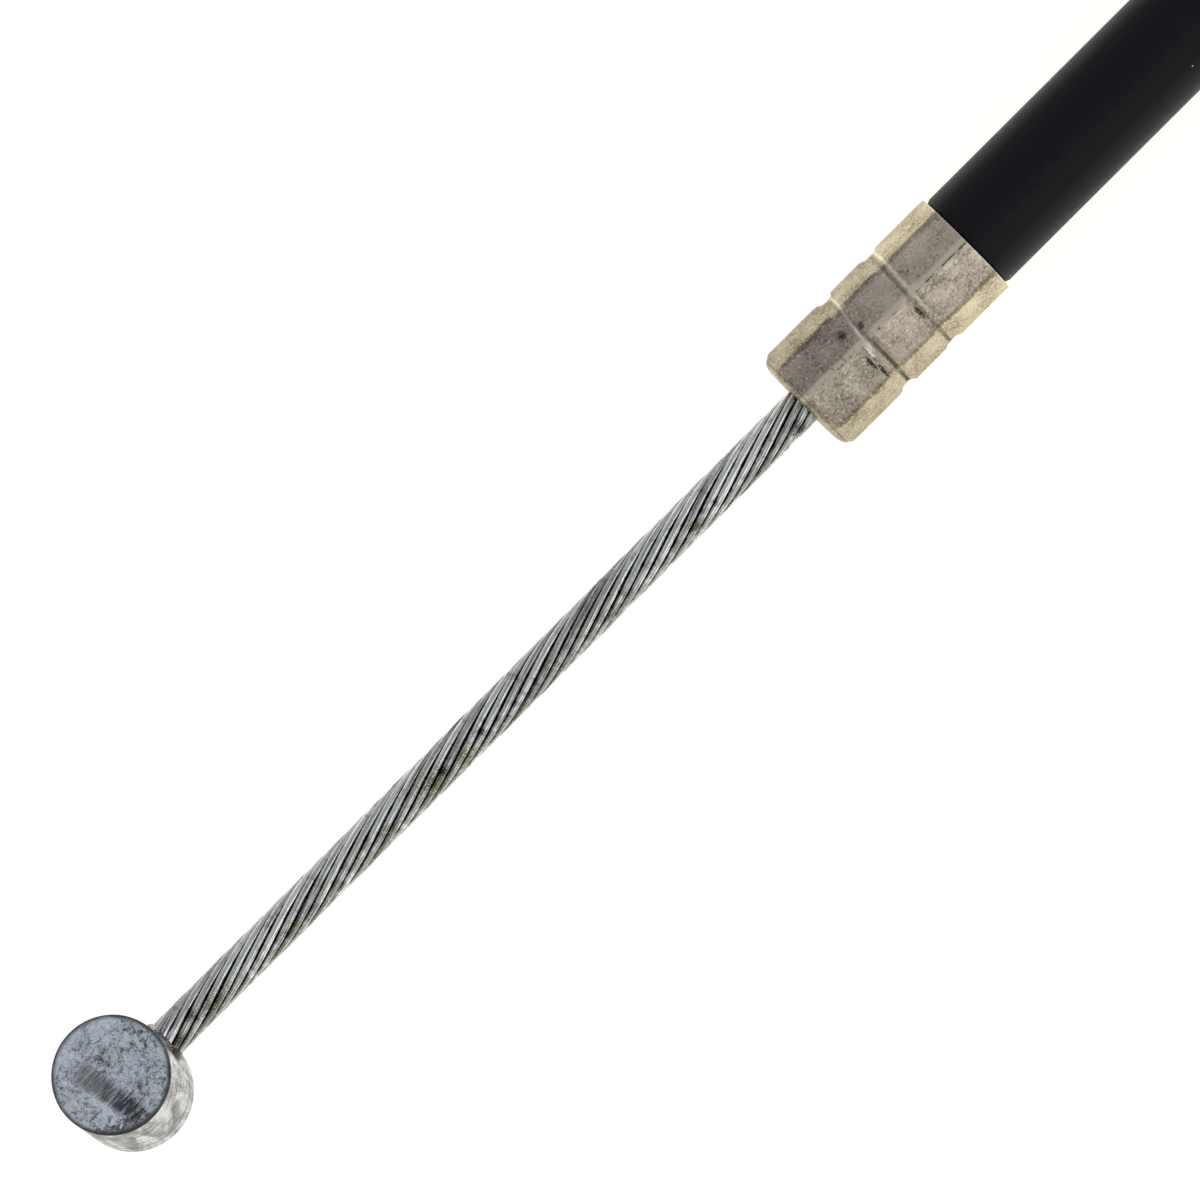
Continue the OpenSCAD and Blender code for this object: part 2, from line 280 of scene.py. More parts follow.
def placeCamera():
    tilt, roll = math.radians(view["tilt"]), math.radians(view["roll"])
    outward = Vector((0, -math.sin(tilt), math.cos(tilt)))
    along = Vector((1, 0, 0))
    across = outward.cross(along)
    right = math.cos(roll) * along - math.sin(roll) * across
    up = math.sin(roll) * along + math.cos(roll) * across
    turn = Matrix((right, up, outward)).transposed().to_4x4()
    lens = bpy.data.cameras.new("camera")
    lens.sensor_width = view["sensor"]
    lens.lens = view["sensor"] * view["distance"] / view["width"]
    lens.clip_start, lens.clip_end = view["clip"]
    camera = bpy.data.objects.new("camera", lens)
    bpy.context.collection.objects.link(camera)
    camera.matrix_world = Matrix.Translation(
        (Vector(view["aim"]) + view["distance"] * outward) * mm) @ turn
    bpy.context.scene.camera = camera


light = {
    "floorSize": 14000,
    "floorGlow": 0.86,  # of the paper on its light table, besides what falls on it
    "floorTint": "#FFFDF3",
    # the tent from the floor's level (0) to overhead (1), brightest half way
    "walls": [(0.0, "#72737E"), (1.0, "#A6A8B6"), (0.15, "#888A92"), (0.36, "#B9BBCB"),
        (0.5, "#C6C8D8"), (0.66, "#B6B8C7"), (0.84, "#A2A4B1")],
    # a soft box along the cable on its -Y side, which draws thin bright lines on the wires
    "lampTilt": 47,  # degrees from straight above
    "lampAlong": 0.12,  # its middle, and half its length and width, as sines of angles
    "lampHalf": (0.5, 0.19),
    "lampSoft": 0.07,
    "lampStrength": 1.4,
    "lampTint": "#F3F7FF",
}


def litPaper():
    # white paper on a light table: pure white to the eye, with a breath of contact shadow
    material, add, shader, place = startMaterial("litPaper", **{"Roughness": 0.9,
        "Emission Color": light["floorTint"], "Emission Strength": light["floorGlow"]})
    fibre = add("TexNoise", {"Vector": place, "Scale": 0.8, "Detail": 4})
    tone = add("ValToRGB", {"Fac": fibre}, [(0.3, "#C6C6C5"), (0.7, "#CECECE")])
    feed(shader, {"Base Color": tone})
    return material


def layFloor():
    floor = startFrom(bpy.ops.mesh.primitive_plane_add, size=light["floorSize"] * mm,
        location=(0, 0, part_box("lever_barrel")[0][2]))
    floor.name = "paperFloor"
    floor.data.materials.append(litPaper())


def lightTent():
    # bluish walls all round, brightest half way up, and a soft box between them
    scene = bpy.context.scene
    scene.view_settings.view_transform = "Standard"
    world = bpy.data.worlds.new("lightTent")
    world.use_nodes = True
    scene.world = world
    world.node_tree.nodes.clear()
    add = partial(addNode, world.node_tree)
    towards = add("TexCoord").outputs["Generated"]
    height = add("SeparateXYZ", {"Vector": towards}).outputs["Z"]
    walls = add("ValToRGB", {"Fac": height}, light["walls"])
    tilt = math.radians(light["lampTilt"])
    lamp = 1
    for axis, middle, half in (((1, 0, 0), light["lampAlong"], light["lampHalf"][0]),
            ((0, math.cos(tilt), math.sin(tilt)), 0, light["lampHalf"][1])):
        off = add("VectorMath", [towards, axis], operation="DOT_PRODUCT").outputs["Value"]
        within = add("MapRange", {"Value": farFrom(add, off, middle)},
            span=(half - light["lampSoft"], half + light["lampSoft"], 1, 0))
        lamp = add("Math", [lamp, within], operation="MULTIPLY")
    colour = add("Mix", {"Factor": lamp, "A": walls, "B": light["lampTint"]}, data_type="RGBA")
    strength = add("Math", [lamp, light["lampStrength"] - 1, 1], operation="MULTIPLY_ADD")
    add("OutputWorld", {"Surface": add("Background", {"Color": colour, "Strength": strength})})


placeCamera()
layFloor()
lightTent()
print("camera, floor and light set")


# the free housing is one black cord from the ferrule's rim to the adjuster
housing = {
    "diameter": 7.4,
    "turns": 3.5,  # two layers that spiral in below and out again above
    "coilRadius": 44,
    "gap": 0.5,
    "lead": 8,  # straight run into and out of the coil
    "climbTurns": 0.5,
    "settleTurns": 0.25,
    "pointsPerTurn": 24,
    "straightPoints": 8,  # on the run into the coil
    "tailPoints": 6,  # on the run to the adjuster
    "endGap": 0.1,  # to its seat in the adjuster
    "roundness": 14,  # bevel resolution of its section
    "smoothness": 6,  # steps between two of its points
    # [distance from the coil's straight run, share of the way down to the adjuster's level]
    "tail": [[0, 0], [3, 0], [7, 0.07], [11, 0.24], [16, 0.5], [21, 0.76], [25, 0.93], [29, 1],
        [32, 1]],
    # [distance from the ferrule's rim, share of the full radius]
    "swell": [[-1.0, 0.885], [-0.05, 0.885], [0.05, 0.975], [0.3, 1], [3, 1]],
}
tie = {
    "width": 3.6,
    "thick": 0.9,
    "fit": 0.25,
    "head": (3.5, 5, 4),  # out from the strap, along the housing and up
    "slot": (1.7, 4.1, 0.9),
    "stub": 1.4,  # of the strap's cut end, past the head
    "slotOff": 0.2,  # of the slot from the head's middle
    "around": 48,  # points of the strap's round corners
    "edge": 0.16,  # radii of the strap's, head's, slot's and stub's edges
    "headEdge": 0.5,
    "slotEdge": 0.1,
    "stubEdge": 0.12,
    "at": {"A": 0.25, "B": 0.625},  # turns from the start of the coil
}
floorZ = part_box("lever_barrel")[0][2] / mm
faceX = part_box("lever_ferrule")[0][0] / mm
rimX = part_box("lever_ferrule")[1][0] / mm
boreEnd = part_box("lever_jacket")[1][0] / mm
farLow, farHigh = boxOf("adjuster_sleeve")
farAxis = Vector((0, (farLow.y + farHigh.y) / 2, (farLow.z + farHigh.z) / 2))
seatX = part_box("far_jacket")[0][0] / mm
jacketRadius = housing["diameter"] / 2
coilPitch = housing["diameter"] + housing["gap"]
coilCentre = Vector((boreEnd + housing["lead"], housing["coilRadius"], 0))
coilZ = floorZ + tie["thick"] + tie["fit"] + jacketRadius


def ease(t):
    s = max(0, min(1, t))
    return s * s * (3 - 2 * s)


def coilRadiusAt(turn):
    return housing["coilRadius"] - coilPitch * min(turn, housing["turns"] - turn)


def coilHeightAt(turn):
    climb = ease((turn - housing["turns"] / 2) / housing["climbTurns"] + 0.5)
    return coilZ * ease(turn / housing["settleTurns"]) + coilPitch * climb


def coilPoint(turn):
    angle = math.radians(360 * turn - 90)
    outward = Vector((math.cos(angle), math.sin(angle), 0))
    return coilCentre + coilRadiusAt(turn) * outward + Vector((0, 0, coilHeightAt(turn)))


def housingRoute():
    # (point, share of the full radius) all the way
    route = [(Vector((rimX + ahead, 0, 0)), share) for ahead, share in housing["swell"]]
    straight, tail = housing["straightPoints"], housing["tailPoints"]
    route += [(Vector((rimX + (boreEnd - rimX) * k / straight, 0, 0)), 1)
        for k in range(1, straight + 1)]
    perTurn = housing["pointsPerTurn"]
    route += [(coilPoint(k / perTurn), 1) for k in range(round(housing["turns"] * perTurn) + 1)]
    top = coilPoint(housing["turns"])
    for back, share in housing["tail"]:
        z = top.z + share * (farAxis.z - top.z)
        route.append((Vector((boreEnd - back, farAxis.y, z)), 1))
    tailX = boreEnd - housing["tail"][-1][0]
    run = seatX + housing["endGap"] - tailX
    route += [(Vector((tailX + run * k / tail, farAxis.y, farAxis.z)), 1)
        for k in range(1, tail + 1)]
    return route


def extrudedPvc():
    # black PVC drawn over the winding: dull, pale only at a slant, with a few specks of dust
    material, add, shader, place = startMaterial("extrudedPvc", IOR=1.53,
        **{"Specular IOR Level": 0.15})
    skin = add("TexNoise", {"Vector": place, "Scale": 1.6, "Detail": 5, "Roughness": 0.6})
    grain = add("TexNoise", {"Vector": place, "Scale": 9, "Detail": 3})
    tone = add("ValToRGB", {"Fac": skin}, [(0.3, "#121213"), (0.7, "#181819")])
    cells = add("TexVoronoi", {"Vector": place, "Scale": 0.55, "Randomness": 1})
    near = add("Math", [cells.outputs["Distance"], 0.035], operation="LESS_THAN")
    chance = add("SeparateColor", {"Color": cells.outputs["Color"]}).outputs["Red"]
    few = add("Math", [chance, 0.6], operation="GREATER_THAN")
    speck = add("Math", [near, few], operation="MULTIPLY")
    colour = add("Mix", {"Factor": speck, "A": tone, "B": "#D8D6D2"}, data_type="RGBA")
    gloss = add("MapRange", {"Value": skin}, span=(0.3, 0.7, 0.42, 0.52))
    wear(add, shader, colour, gloss, [(skin, 0.012), (grain, 0.003)])
    return material


def castZincFace(name, centre, rim, gate):
    # the dull blue-grey skin of die-cast zinc: mottled oxide, fine pores, and painted shade
    # darkening the rounded rim
    material, add, shader, place = startMaterial(name + "CastZincFace", centre, Metallic=0.35)
    cloud = add("TexNoise", {"Vector": place, "Scale": 0.45, "Detail": 4, "Roughness": 0.6})
    mottle = add("TexNoise", {"Vector": place, "Scale": 3.1, "Detail": 9, "Roughness": 0.74,
        "Distortion": 0.7})
    pore = add("TexNoise", {"Vector": place, "Scale": 8, "Detail": 4, "Roughness": 0.7})
    blend = add("Mix", {"Factor": 0.42, "A": mottle, "B": cloud}, data_type="FLOAT")
    blend = add("Mix", {"Factor": 0.24, "A": blend, "B": pore}, data_type="FLOAT")
    tone = add("ValToRGB", {"Fac": blend}, [(0.41, "#494C4B"), (0.59, "#FAFFFC"), (0.45, "#8B908E"),
        (0.485, "#CFD6D3"), (0.53, "#EAF0ED")])
    # hair lines where two of the mould's wrinkles met
    wrinkle = add("TexNoise", {"Vector": place, "Scale": 3, "Detail": 5, "Distortion": 1.5})
    off = farFrom(add, wrinkle, 0.5)
    crack = add("MapRange", {"Value": off}, span=(0.003, 0.012, 0.6, 0))
    tone = add("Mix", {"Factor": crack, "A": tone, "B": "#4A4D52"}, data_type="RGBA")
    out = lengthOf(add, place, (1, 1, 0))
    # the face is dirtier away from the wire and towards -Y, and its very edge is painted dark as
    # shade of the rounded rim
    side = add("VectorMath", [place, (-0.45, -0.9, 0)], operation="DOT_PRODUCT")
    low = add("MapRange", {"Value": side.outputs["Value"]}, span=(2, 4, 0, 0.26))
    dirty = add("MapRange", {"Value": add("Math", [mottle, low], operation="SUBTRACT")},
        span=(0.3, 0.4, 0.8, 0))
    tone = add("Mix", {"Factor": dirty, "A": tone, "B": "#48494A"}, data_type="RGBA")
    # painted shade: a near-black ring on the rounded rim of the face
    ragged = add("Math", [mottle, 0.7, out], operation="MULTIPLY_ADD")
    edge = add("MapRange", {"Value": ragged}, span=(rim, rim + 0.3, 0, 0.9),
        interpolation_type="SMOOTHSTEP")
    colour = add("Mix", {"Factor": edge, "A": tone, "B": "#2F2F30"}, data_type="RGBA")
    rough = add("MapRange", {"Value": blend}, span=(0.4, 0.6, 0.66, 0.5))
    dents = [(mottle, 0.03), (pore, 0.01)]
    if gate:
        colour, rough, strokes = gateFinish(add, place, gate, colour, rough)
        dents.append((strokes, 0.04))
    wear(add, shader, colour, rough, dents)
    return material


def turnedAbout(add, place, centre, degrees):
    # coordinates that start at a spot on the barrel's face and are turned with a mark there
    back = math.radians(-degrees)
    shift = Matrix.Rotation(back, 3, "Z") @ -Vector(centre)
    return add("Mapping", {"Vector": place, "Rotation": (0, 0, back), "Location": shift})


def gateFinish(add, place, gate, colour, rough):
    # where the runner was sheared off and ground: dark grey with bright strokes along the wire
    band = turnedAbout(add, place, gate["at"], gate["turn"])
    x, y = add("SeparateXYZ", {"Vector": band}).outputs[:2]
    wobble = add("TexNoise", {"Vector": place, "Scale": 1.5, "Detail": 6, "Roughness": 0.7})
    stroke = add("TexNoise", {"Vector": add("Mapping", {"Vector": place, "Scale": (0.5, 9, 1),
        "Rotation": (0, 0, math.radians(6))}), "Scale": 1.6, "Detail": 5, "Roughness": 0.75})
    # every stroke ends at its own place on the band's long sides, and the short ends are soft
    mask = None
    for axis, half, edge, fade in (
            (x, gate["width"] / 2, stroke, 0.2), (y, gate["length"] / 2, wobble, 0.35)):
        away = add("Math", [axis], operation="ABSOLUTE")
        soft = add("Math", [edge, 1, away], operation="MULTIPLY_ADD")
        side = add("MapRange", {"Value": soft}, span=(half + 0.4 - fade, half + 0.4 + fade, 1, 0))
        mask = add("Math", [mask, side], operation="MULTIPLY") if mask else side
    deep = add("MapRange", {"Value": y}, span=(1.4, -1.2))
    ground = add("Mix", {"Factor": deep, "A": "#999892", "B": "#3F3E3B"}, data_type="RGBA")
    dark = add("MapRange", {"Value": stroke}, span=(0.47, 0.4, 0, 0.8))
    ground = add("Mix", {"Factor": dark, "A": ground, "B": "#3D3C38"}, data_type="RGBA")
    bright = add("MapRange", {"Value": stroke}, span=(0.55, 0.62))
    rubbed = add("Mix", {"Factor": bright, "A": ground, "B": "#DCDEE1"}, data_type="RGBA")
    # the strokes run on past the band's side towards the wire
    past = add("MapRange", {"Value": x}, span=(0.8, 1.9, 0.8, 0))
    ahead = add("MapRange", {"Value": x}, span=(0, 0.2))
    beside = add("MapRange", {"Value": add("Math", [y], operation="ABSOLUTE")},
        span=(gate["length"] / 2 - 0.9, gate["length"] / 2, 1, 0))
    for source, shade in ((bright, "#E4E7EA"), (dark, "#5A5B5E")):
        halo = source
        for share in (past, ahead, beside):
            halo = add("Math", [halo, share], operation="MULTIPLY")
        colour = add("Mix", {"Factor": halo, "A": colour, "B": shade}, data_type="RGBA")
    colour = add("Mix", {"Factor": mask, "A": colour, "B": rubbed}, data_type="RGBA")
    rough = add("Mix", {"Factor": mask, "A": rough, "B": 0.45}, data_type="FLOAT")
    lift = add("Math", [stroke, mask], operation="MULTIPLY")
    for spotX, spotY, degrees, length in gate["scratches"]:
        spot = turnedAbout(add, place, (spotX, spotY, 0), degrees)
        line = add("MapRange", {"Value": lengthOf(add, spot, (2 / length, 22, 0))},
            span=(0.7, 1, 0.85, 0))
        colour = add("Mix", {"Factor": line, "A": colour, "B": "#3B3C40"}, data_type="RGBA")
    return colour, rough, lift


def castZincSide(name, centre, beadZ):
    # the barrel's side, rubbed bright in its hole, with grey patches of cast skin left
    material, add, shader, place = startMaterial(name + "CastZincSide", centre, Metallic=1.0)
    # the barrel slides into its hole lengthwise, so its patches are drawn out that way
    patch = add("TexNoise", {"Vector": add("Mapping", {"Vector": place, "Scale": (1, 1, 0.3)}),
        "Scale": 0.75, "Detail": 8, "Roughness": 0.66, "Distortion": 0.6})
    streak = add("TexNoise", {"Vector": add("Mapping", {"Vector": place,
        "Scale": (0.35, 0.35, 1.8)}), "Scale": 1.1, "Detail": 7, "Roughness": 0.72})
    pore = add("TexNoise", {"Vector": place, "Scale": 8, "Detail": 3})
    blend = add("Mix", {"Factor": 0.12, "A": patch, "B": streak}, data_type="FLOAT")
    tone = add("ValToRGB", {"Fac": blend}, [(0.4, "#83817E"), (0.6, "#DAD9D8"), (0.46, "#999795"),
        (0.5, "#AEACAA"), (0.54, "#C2C0BF")])
    # thin dark lines round the side: the mould's parting line and scores from the lever's hole
    hair = add("TexNoise", {"Vector": add("Mapping", {"Vector": place, "Scale": (0.2, 0.2, 1.4)}),
        "Scale": 1, "Detail": 2})
    off = farFrom(add, hair, 0.5)
    score = add("MapRange", {"Value": off}, span=(0.008, 0.022, 0.7, 0))
    height = add("SeparateXYZ", {"Vector": place}).outputs["Z"]
    parting = add("Math", [streak, 0.12, height], operation="MULTIPLY_ADD")
    fromBead = farFrom(add, parting, beadZ + 0.02)
    seam = add("MapRange", {"Value": fromBead}, span=(0.08, 0.18, 0.85, 0))
    line = add("Math", [score, seam], operation="MAXIMUM")
    # small dark pits in the skin
    pit = add("MapRange", {"Value": pore}, span=(0.62, 0.67, 0, 0.7))
    line = add("Math", [line, pit], operation="MAXIMUM")
    colour = add("Mix", {"Factor": line, "A": tone, "B": "#3A3836"}, data_type="RGBA")
    # grime at the wire's root, with painted shade in the crevice where the wire enters the barrel
    colour = spotOn(add, place, pore, colour, barrel["rootGrimeAndShade"])
    rough = add("MapRange", {"Value": patch}, span=(0.35, 0.65, 0.48, 0.28))
    wear(add, shader, colour, rough, [(streak, 0.01), (pore, 0.006)])
    return material


def galvanisedWires(name, centre, spots):
    # zinc-coated drawn wires: grey with bright die lines, dark grease and painted shade between
    # them, some brown dirt
    material, add, shader, place = startMaterial(name + "GalvanisedWires", centre, Metallic=1.0)
    x, y, z = add("SeparateXYZ", {"Vector": place}).outputs
    angle = add("Math", [y, z], operation="ARCTAN2")
    unwound = add("Math", [x, -2 * math.pi / strand["lay"], angle], operation="MULTIPLY_ADD")
    across = add("Math", [unwound, strand["wires"] / (2 * math.pi)], operation="MULTIPLY")
    number = add("Math", [across], operation="ROUND")
    own = add("TexWhiteNoise", {"W": number}, noise_dimensions="1D").outputs["Value"]
    drawn = add("CombineXYZ", {"X": add("Math", [x, 0.1], operation="MULTIPLY"),
        "Y": add("Math", [across, 6.0], operation="MULTIPLY")})
    dieLine = add("TexNoise", {"Vector": drawn, "Scale": 1, "Detail": 5, "Roughness": 0.75})
    zinc = add("TexNoise", {"Vector": place, "Scale": 3.5, "Detail": 7, "Roughness": 0.7})
    blend = add("Mix", {"Factor": 0.1, "A": dieLine, "B": zinc}, data_type="FLOAT")
    blend = add("Mix", {"Factor": 0.1, "A": blend, "B": own}, data_type="FLOAT")
    tone = add("ValToRGB", {"Fac": blend}, [(0.4, "#787970"), (0.58, "#FFFFF2"), (0.45, "#BCBDB2"),
        (0.52, "#E8E9DC")])
    out = lengthOf(add, place, (0, 1, 1))
    # grease and painted shade darken the hollows between the wires, and more grease lies between
    # them towards -Y
    smear = add("TexNoise", {"Vector": place, "Scale": 1.3, "Detail": 6, "Roughness": 0.65})
    filled = add("MapRange", {"Value": y}, span=(0.9, -0.2, 0, 0.07),
        interpolation_type="SMOOTHSTEP")
    level = add("Math", [out, filled], operation="SUBTRACT")
    level = add("Math", [smear, -0.25, level], operation="MULTIPLY_ADD")
    # painted shade: the deeper the surface lies between the wires, the darker it is painted
    greaseAndShade = add("MapRange", {"Value": level}, span=(0.98, 1.07, 0.94, 0),
        interpolation_type="SMOOTHSTEP")
    colour = add("Mix", {"Factor": greaseAndShade, "A": tone, "B": "#2B2B20"}, data_type="RGBA")
    crumb = add("TexNoise", {"Vector": place, "Scale": 8, "Detail": 5, "Roughness": 0.75})
    # olive grime clings to the side that lay on the ground
    under = add("MapRange", {"Value": y}, span=(-0.3, -1.1, 0, 0.16))
    grime = add("MapRange", {"Value": add("Math", [smear, under], operation="ADD")},
        span=(0.55, 0.65, 0, 0.9))
    colour = add("Mix", {"Factor": add("Math", [grime, crumb], operation="MULTIPLY"), "A": colour,
        "B": "#494529"}, data_type="RGBA")
    colour = spotOn(add, place, crumb, colour, spots)
    rough = add("MapRange", {"Value": dieLine}, span=(0.35, 0.65, 0.28, 0.15))
    wear(add, shader, colour, rough, [(dieLine, 0.015), (zinc, 0.003)])
    return material


def nickelledSteel(centre):
    # drawn steel with a warm satin nickel: faint pebble and pits, with painted highlights and
    # painted shade along its ridges and grooves
    material, add, shader, place = startMaterial("nickelledSteel", centre,
        math.radians(-ferrule["crimpTurn"]), **{"Metallic": 1.0, "Specular Tint": "#E7E7DE"})
    x, y, z = add("SeparateXYZ", {"Vector": place}).outputs
    angle = add("Math", [add("Math", [y, z], operation="ARCTAN2")], operation="DEGREES")
    cloud = add("TexNoise", {"Vector": place, "Scale": 0.55, "Detail": 5})
    pebble = add("TexNoise", {"Vector": place, "Scale": 5.5, "Detail": 6, "Roughness": 0.7})
    grain = add("TexNoise", {"Vector": place, "Scale": 13, "Detail": 3})
    drawn = add("TexNoise", {"Vector": add("Mapping", {"Vector": place, "Scale": (0.5, 5, 5)}),
        "Scale": 1.2, "Detail": 5, "Roughness": 0.65})
    blend = add("Mix", {"Factor": 0.65, "A": cloud, "B": pebble}, data_type="FLOAT")
    colour = add("ValToRGB", {"Fac": blend}, [(0.4, "#8A7F6C"), (0.6, "#DED0B5"), (0.46, "#B6A991"),
        (0.52, "#C8BA9F")])
    # the plate is darker towards the end face
    fade = add("MapRange", {"Value": x}, span=(2, 13, 0.83, 1.17))
    colour = add("VectorMath", {0: colour, "Scale": fade}, operation="SCALE")
    # a painted highlight along the front ridge, with dashes of painted dark reflection towards the
    # rim, and lines of painted shade beside it and on the side creases
    dash = add("TexNoise", {"Vector": add("Mapping", {"Vector": place, "Scale": (1.3, 0.2, 0.2)}),
        "Scale": 1.5, "Detail": 4, "Roughness": 0.8})
    dash = add("Math", [dash, add("MapRange", {"Value": x}, span=(9.5, 12, 0, 0.1))],
        operation="ADD")
    wander = 4  # degrees from one side of a line's place to the other
    wavy = add("Math", [drawn, wander, angle], operation="MULTIPLY_ADD")
    # painted highlight, painted reflection and painted shade lines along the ridges
    for middle, half, soft, needs, strength, shade in ferrule["paintedRidgeLight"]:
        away = farFrom(add, wavy, middle + wander / 2)
        onLine = add("MapRange", {"Value": away}, span=(half, half + soft, strength, 0))
        onDash = add("MapRange", {"Value": dash}, span=(needs, needs + 0.07))
        line = add("Math", [onDash, onLine], operation="MULTIPLY")
        colour = add("Mix", {"Factor": line, "A": colour, "B": shade}, data_type="RGBA")
    cells = add("TexVoronoi", {"Vector": place, "Scale": 2.4})
    chance = add("SeparateColor", {"Color": cells.outputs["Color"]}).outputs["Red"]
    wide = add("MapRange", {"Value": chance}, span=(0.78, 1, 0, 0.16))
    pit = add("Math", [cells.outputs["Distance"], wide], operation="LESS_THAN")
    colour = add("Mix", {"Factor": add("Math", [pit, 0.35], operation="MULTIPLY"), "A": colour,
        "B": "#3A342C"}, data_type="RGBA")
    # fine bright scratches, only here and there
    swirl = add("TexNoise", {"Vector": place, "Scale": 1.3, "Detail": 3, "Distortion": 1})
    off = farFrom(add, swirl, 0.5)
    scratch = add("MapRange", {"Value": off}, span=(0.001, 0.006, 0.7, 0))
    shown = add("MapRange", {"Value": cloud}, span=(0.5, 0.56))
    colour = add("Mix", {"Factor": add("Math", [scratch, shown], operation="MULTIPLY"), "A": colour,
        "B": "#EFE6CF"}, data_type="RGBA")
    # pits, with painted shade and painted highlights beside the grooves
    colour = spotOn(add, place, pebble, colour, ferrule["spots"])
    patchy = add("MapRange", {"Value": cloud}, span=(0.36, 0.54, 0.4, 1))
    stray = 0.2  # how far a ring strays from its place, in all
    # painted highlight and painted shade lines on the groove walls and at the ends
    for ridgeAt, sideAt, half, lowStrength, highStrength, shade in ferrule["paintedRingLines"]:
        strength = add("MapRange", {"Value": y}, span=(-2.7, 1, lowStrength, highStrength))
        at = add("MapRange", {"Value": y}, span=(0, 3, ridgeAt + stray / 2, sideAt + stray / 2))
        ragged = add("Math", [drawn, stray, x], operation="MULTIPLY_ADD")
        off = farFrom(add, ragged, at)
        paintedRingLight = add("MapRange", {"Value": off}, span=(half * 0.4, half, strength, 0))
        paintedRingLight = add("Math", [paintedRingLight, patchy], operation="MULTIPLY")
        colour = add("Mix", {"Factor": paintedRingLight, "A": colour, "B": shade}, data_type="RGBA")
    rough = add("MapRange", {"Value": blend}, span=(0.4, 0.6, 0.4, 0.26))
    wear(add, shader, colour, rough, [(drawn, 0.02), (pebble, 0.03), (grain, 0.01), (pit, -0.02)])
    return material


def brightZincPlate(name, centre, ringsPerMm):
    # bright zinc plate on turned steel: bluish silver, with faint tool rings round the axis
    material, add, shader, place = startMaterial(name + "BrightZincPlate", centre, Metallic=1.0)
    cloud = add("TexNoise", {"Vector": place, "Scale": 0.6, "Detail": 5})
    ring = add("TexNoise", {"Vector": add("Mapping", {"Vector": place,
        "Scale": (ringsPerMm, 0.15, 0.15)}), "Scale": 1, "Detail": 5, "Roughness": 0.7})
    fine = add("TexNoise", {"Vector": place, "Scale": 10, "Detail": 4})
    blend = add("Mix", {"Factor": 0.6, "A": cloud, "B": fine}, data_type="FLOAT")
    tone = add("ValToRGB", {"Fac": blend}, [(0.4, "#A6A8A9"), (0.6, "#D8DAD9"), (0.46, "#B9BBBB"),
        (0.53, "#C7C9C7")])
    rough = add("MapRange", {"Value": blend}, span=(0.35, 0.65, 0.38, 0.24))
    wear(add, shader, tone, rough, [(ring, 0.02), (fine, 0.005)])
    return material


def mouldedNylon():
    # black nylon straight from the mould: even satin with a faint flow pattern
    material, add, shader, place = startMaterial("mouldedNylon", IOR=1.53,
        **{"Specular IOR Level": 0.3})
    flow = add("TexNoise", {"Vector": place, "Scale": 0.9, "Detail": 4, "Distortion": 1.2})
    spark = add("TexNoise", {"Vector": place, "Scale": 14, "Detail": 2})
    tone = add("ValToRGB", {"Fac": flow}, [(0.3, "#121213"), (0.7, "#1E1E20")])
    rough = add("MapRange", {"Value": flow}, span=(0.3, 0.7, 0.42, 0.54))
    wear(add, shader, tone, rough, [(spark, 0.008)])
    return material


def naturalPolythene():
    # milky liner tube, waxy and a little see-through
    material, add, shader, place = startMaterial("naturalPolythene", IOR=1.51,
        **{"Subsurface Weight": 0.4, "Subsurface Radius": (0.001, 0.001, 0.0008)})
    cloud = add("TexNoise", {"Vector": place, "Scale": 1.5, "Detail": 4})
    tone = add("ValToRGB", {"Fac": cloud}, [(0.3, "#DEDCD2"), (0.7, "#ECEAE2")])
    rough = add("MapRange", {"Value": cloud}, span=(0, 1, 0.35, 0.5))
    wear(add, shader, tone, rough, [(cloud, 0.01)])
    return material


def flatWoundSteel():
    # flat steel wire in a close winding: dull grey bands 1.2 mm wide with dark joints
    material, add, shader, place = startMaterial("flatWoundSteel", Metallic=1.0)
    along = add("SeparateXYZ", {"Vector": place}).outputs["X"]
    band = add("Math", [along, 0.6], operation="PINGPONG")
    joint = add("MapRange", {"Value": band}, span=(0.03, 0.1))
    cloud = add("TexNoise", {"Vector": place, "Scale": 2, "Detail": 5})
    tone = add("ValToRGB", {"Fac": cloud}, [(0.3, "#8F9294"), (0.7, "#B4B7B9")])
    colour = add("Mix", {"Factor": joint, "A": "#2A2926", "B": tone}, data_type="RGBA")
    rough = add("MapRange", {"Value": cloud}, span=(0, 1, 0.3, 0.55))
    wear(add, shader, colour, rough, [(joint, 0.05)])
    return material


def makeHousing():
    route = housingRoute()
    line = bpy.data.curves.new("housingCord", "CURVE")
    line.dimensions = "3D"
    line.bevel_depth = jacketRadius * mm
    line.bevel_resolution = housing["roundness"]
    line.resolution_u = housing["smoothness"]
    line.use_fill_caps = True
    spline = line.splines.new("BEZIER")
    spline.bezier_points.add(len(route) - 1)
    for knot, (point, share) in zip(spline.bezier_points, route):
        knot.co = point * mm
        knot.radius = share
        knot.handle_left_type = knot.handle_right_type = "AUTO"
    cord = bpy.data.objects.new("housingCord", line)
    bpy.context.collection.objects.link(cord)
    line.materials.append(extrudedPvc())
    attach(cord, "housing")
    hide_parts("lever_jacket", "housing_coil", "housing_tail", "far_jacket")
    print("made housingCord")
    return cord


def declareHousing():
    points = [point for point, share in housingRoute()]


